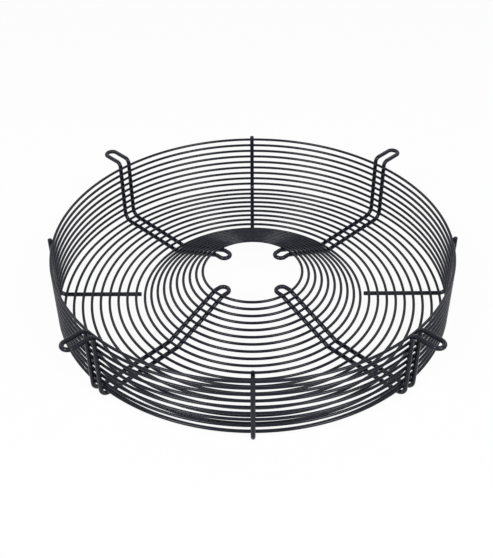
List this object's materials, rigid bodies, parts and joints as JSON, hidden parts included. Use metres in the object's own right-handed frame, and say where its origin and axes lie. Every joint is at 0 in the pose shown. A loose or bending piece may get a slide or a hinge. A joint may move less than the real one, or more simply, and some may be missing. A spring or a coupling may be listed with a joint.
{
  "type": "wire fan guard",
  "caption": "Round wire basket guard for an axial fan: welded concentric rings on double-wire arms with open mounting eyes, and short ribs between them.",
  "frame": {"origin": "on the guard's axis, level with the underside of the arms and ribs, on which it rests", "axes": "+Z along the guard's axis, out of the basket's open side towards the fan; the mounting arms lie along the X and Y axes"},
  "size_m": [0.4646, 0.4646, 0.0789],
  "materials": {
    "coated_rings": "satin black powder coat on steel wire",
    "coated_frame": "satin black powder coat on steel wire"
  },
  "bodies": {
    "root": {"cone_ring_1": "coated_rings", "cone_ring_2": "coated_rings", "cone_ring_3": "coated_rings", "cone_ring_4": "coated_rings", "cone_ring_5": "coated_rings", "cone_ring_6": "coated_rings", "cone_ring_7": "coated_rings", "cone_ring_8": "coated_rings", "floor_ring_1": "coated_rings", "floor_ring_10": "coated_rings", "floor_ring_2": "coated_rings", "floor_ring_3": "coated_rings", "floor_ring_4": "coated_rings", "floor_ring_5": "coated_rings", "floor_ring_6": "coated_rings", "floor_ring_7": "coated_rings", "floor_ring_8": "coated_rings", "floor_ring_9": "coated_rings", "hub_ring": "coated_rings", "mounting_arm_1": "coated_frame", "mounting_arm_2": "coated_frame", "mounting_arm_3": "coated_frame", "mounting_arm_4": "coated_frame", "rib_1": "coated_frame", "rib_2": "coated_frame", "rib_3": "coated_frame", "rib_4": "coated_frame", "rim_ring": "coated_rings", "wall_ring_2": "coated_rings", "wall_ring_3": "coated_rings", "wall_ring_4": "coated_rings", "wall_ring_5": "coated_rings", "wall_ring_6": "coated_rings", "wall_ring_7": "coated_rings", "wall_ring_8": "coated_rings", "wall_ring_9": "coated_rings"}
  },
  "joints": []
}
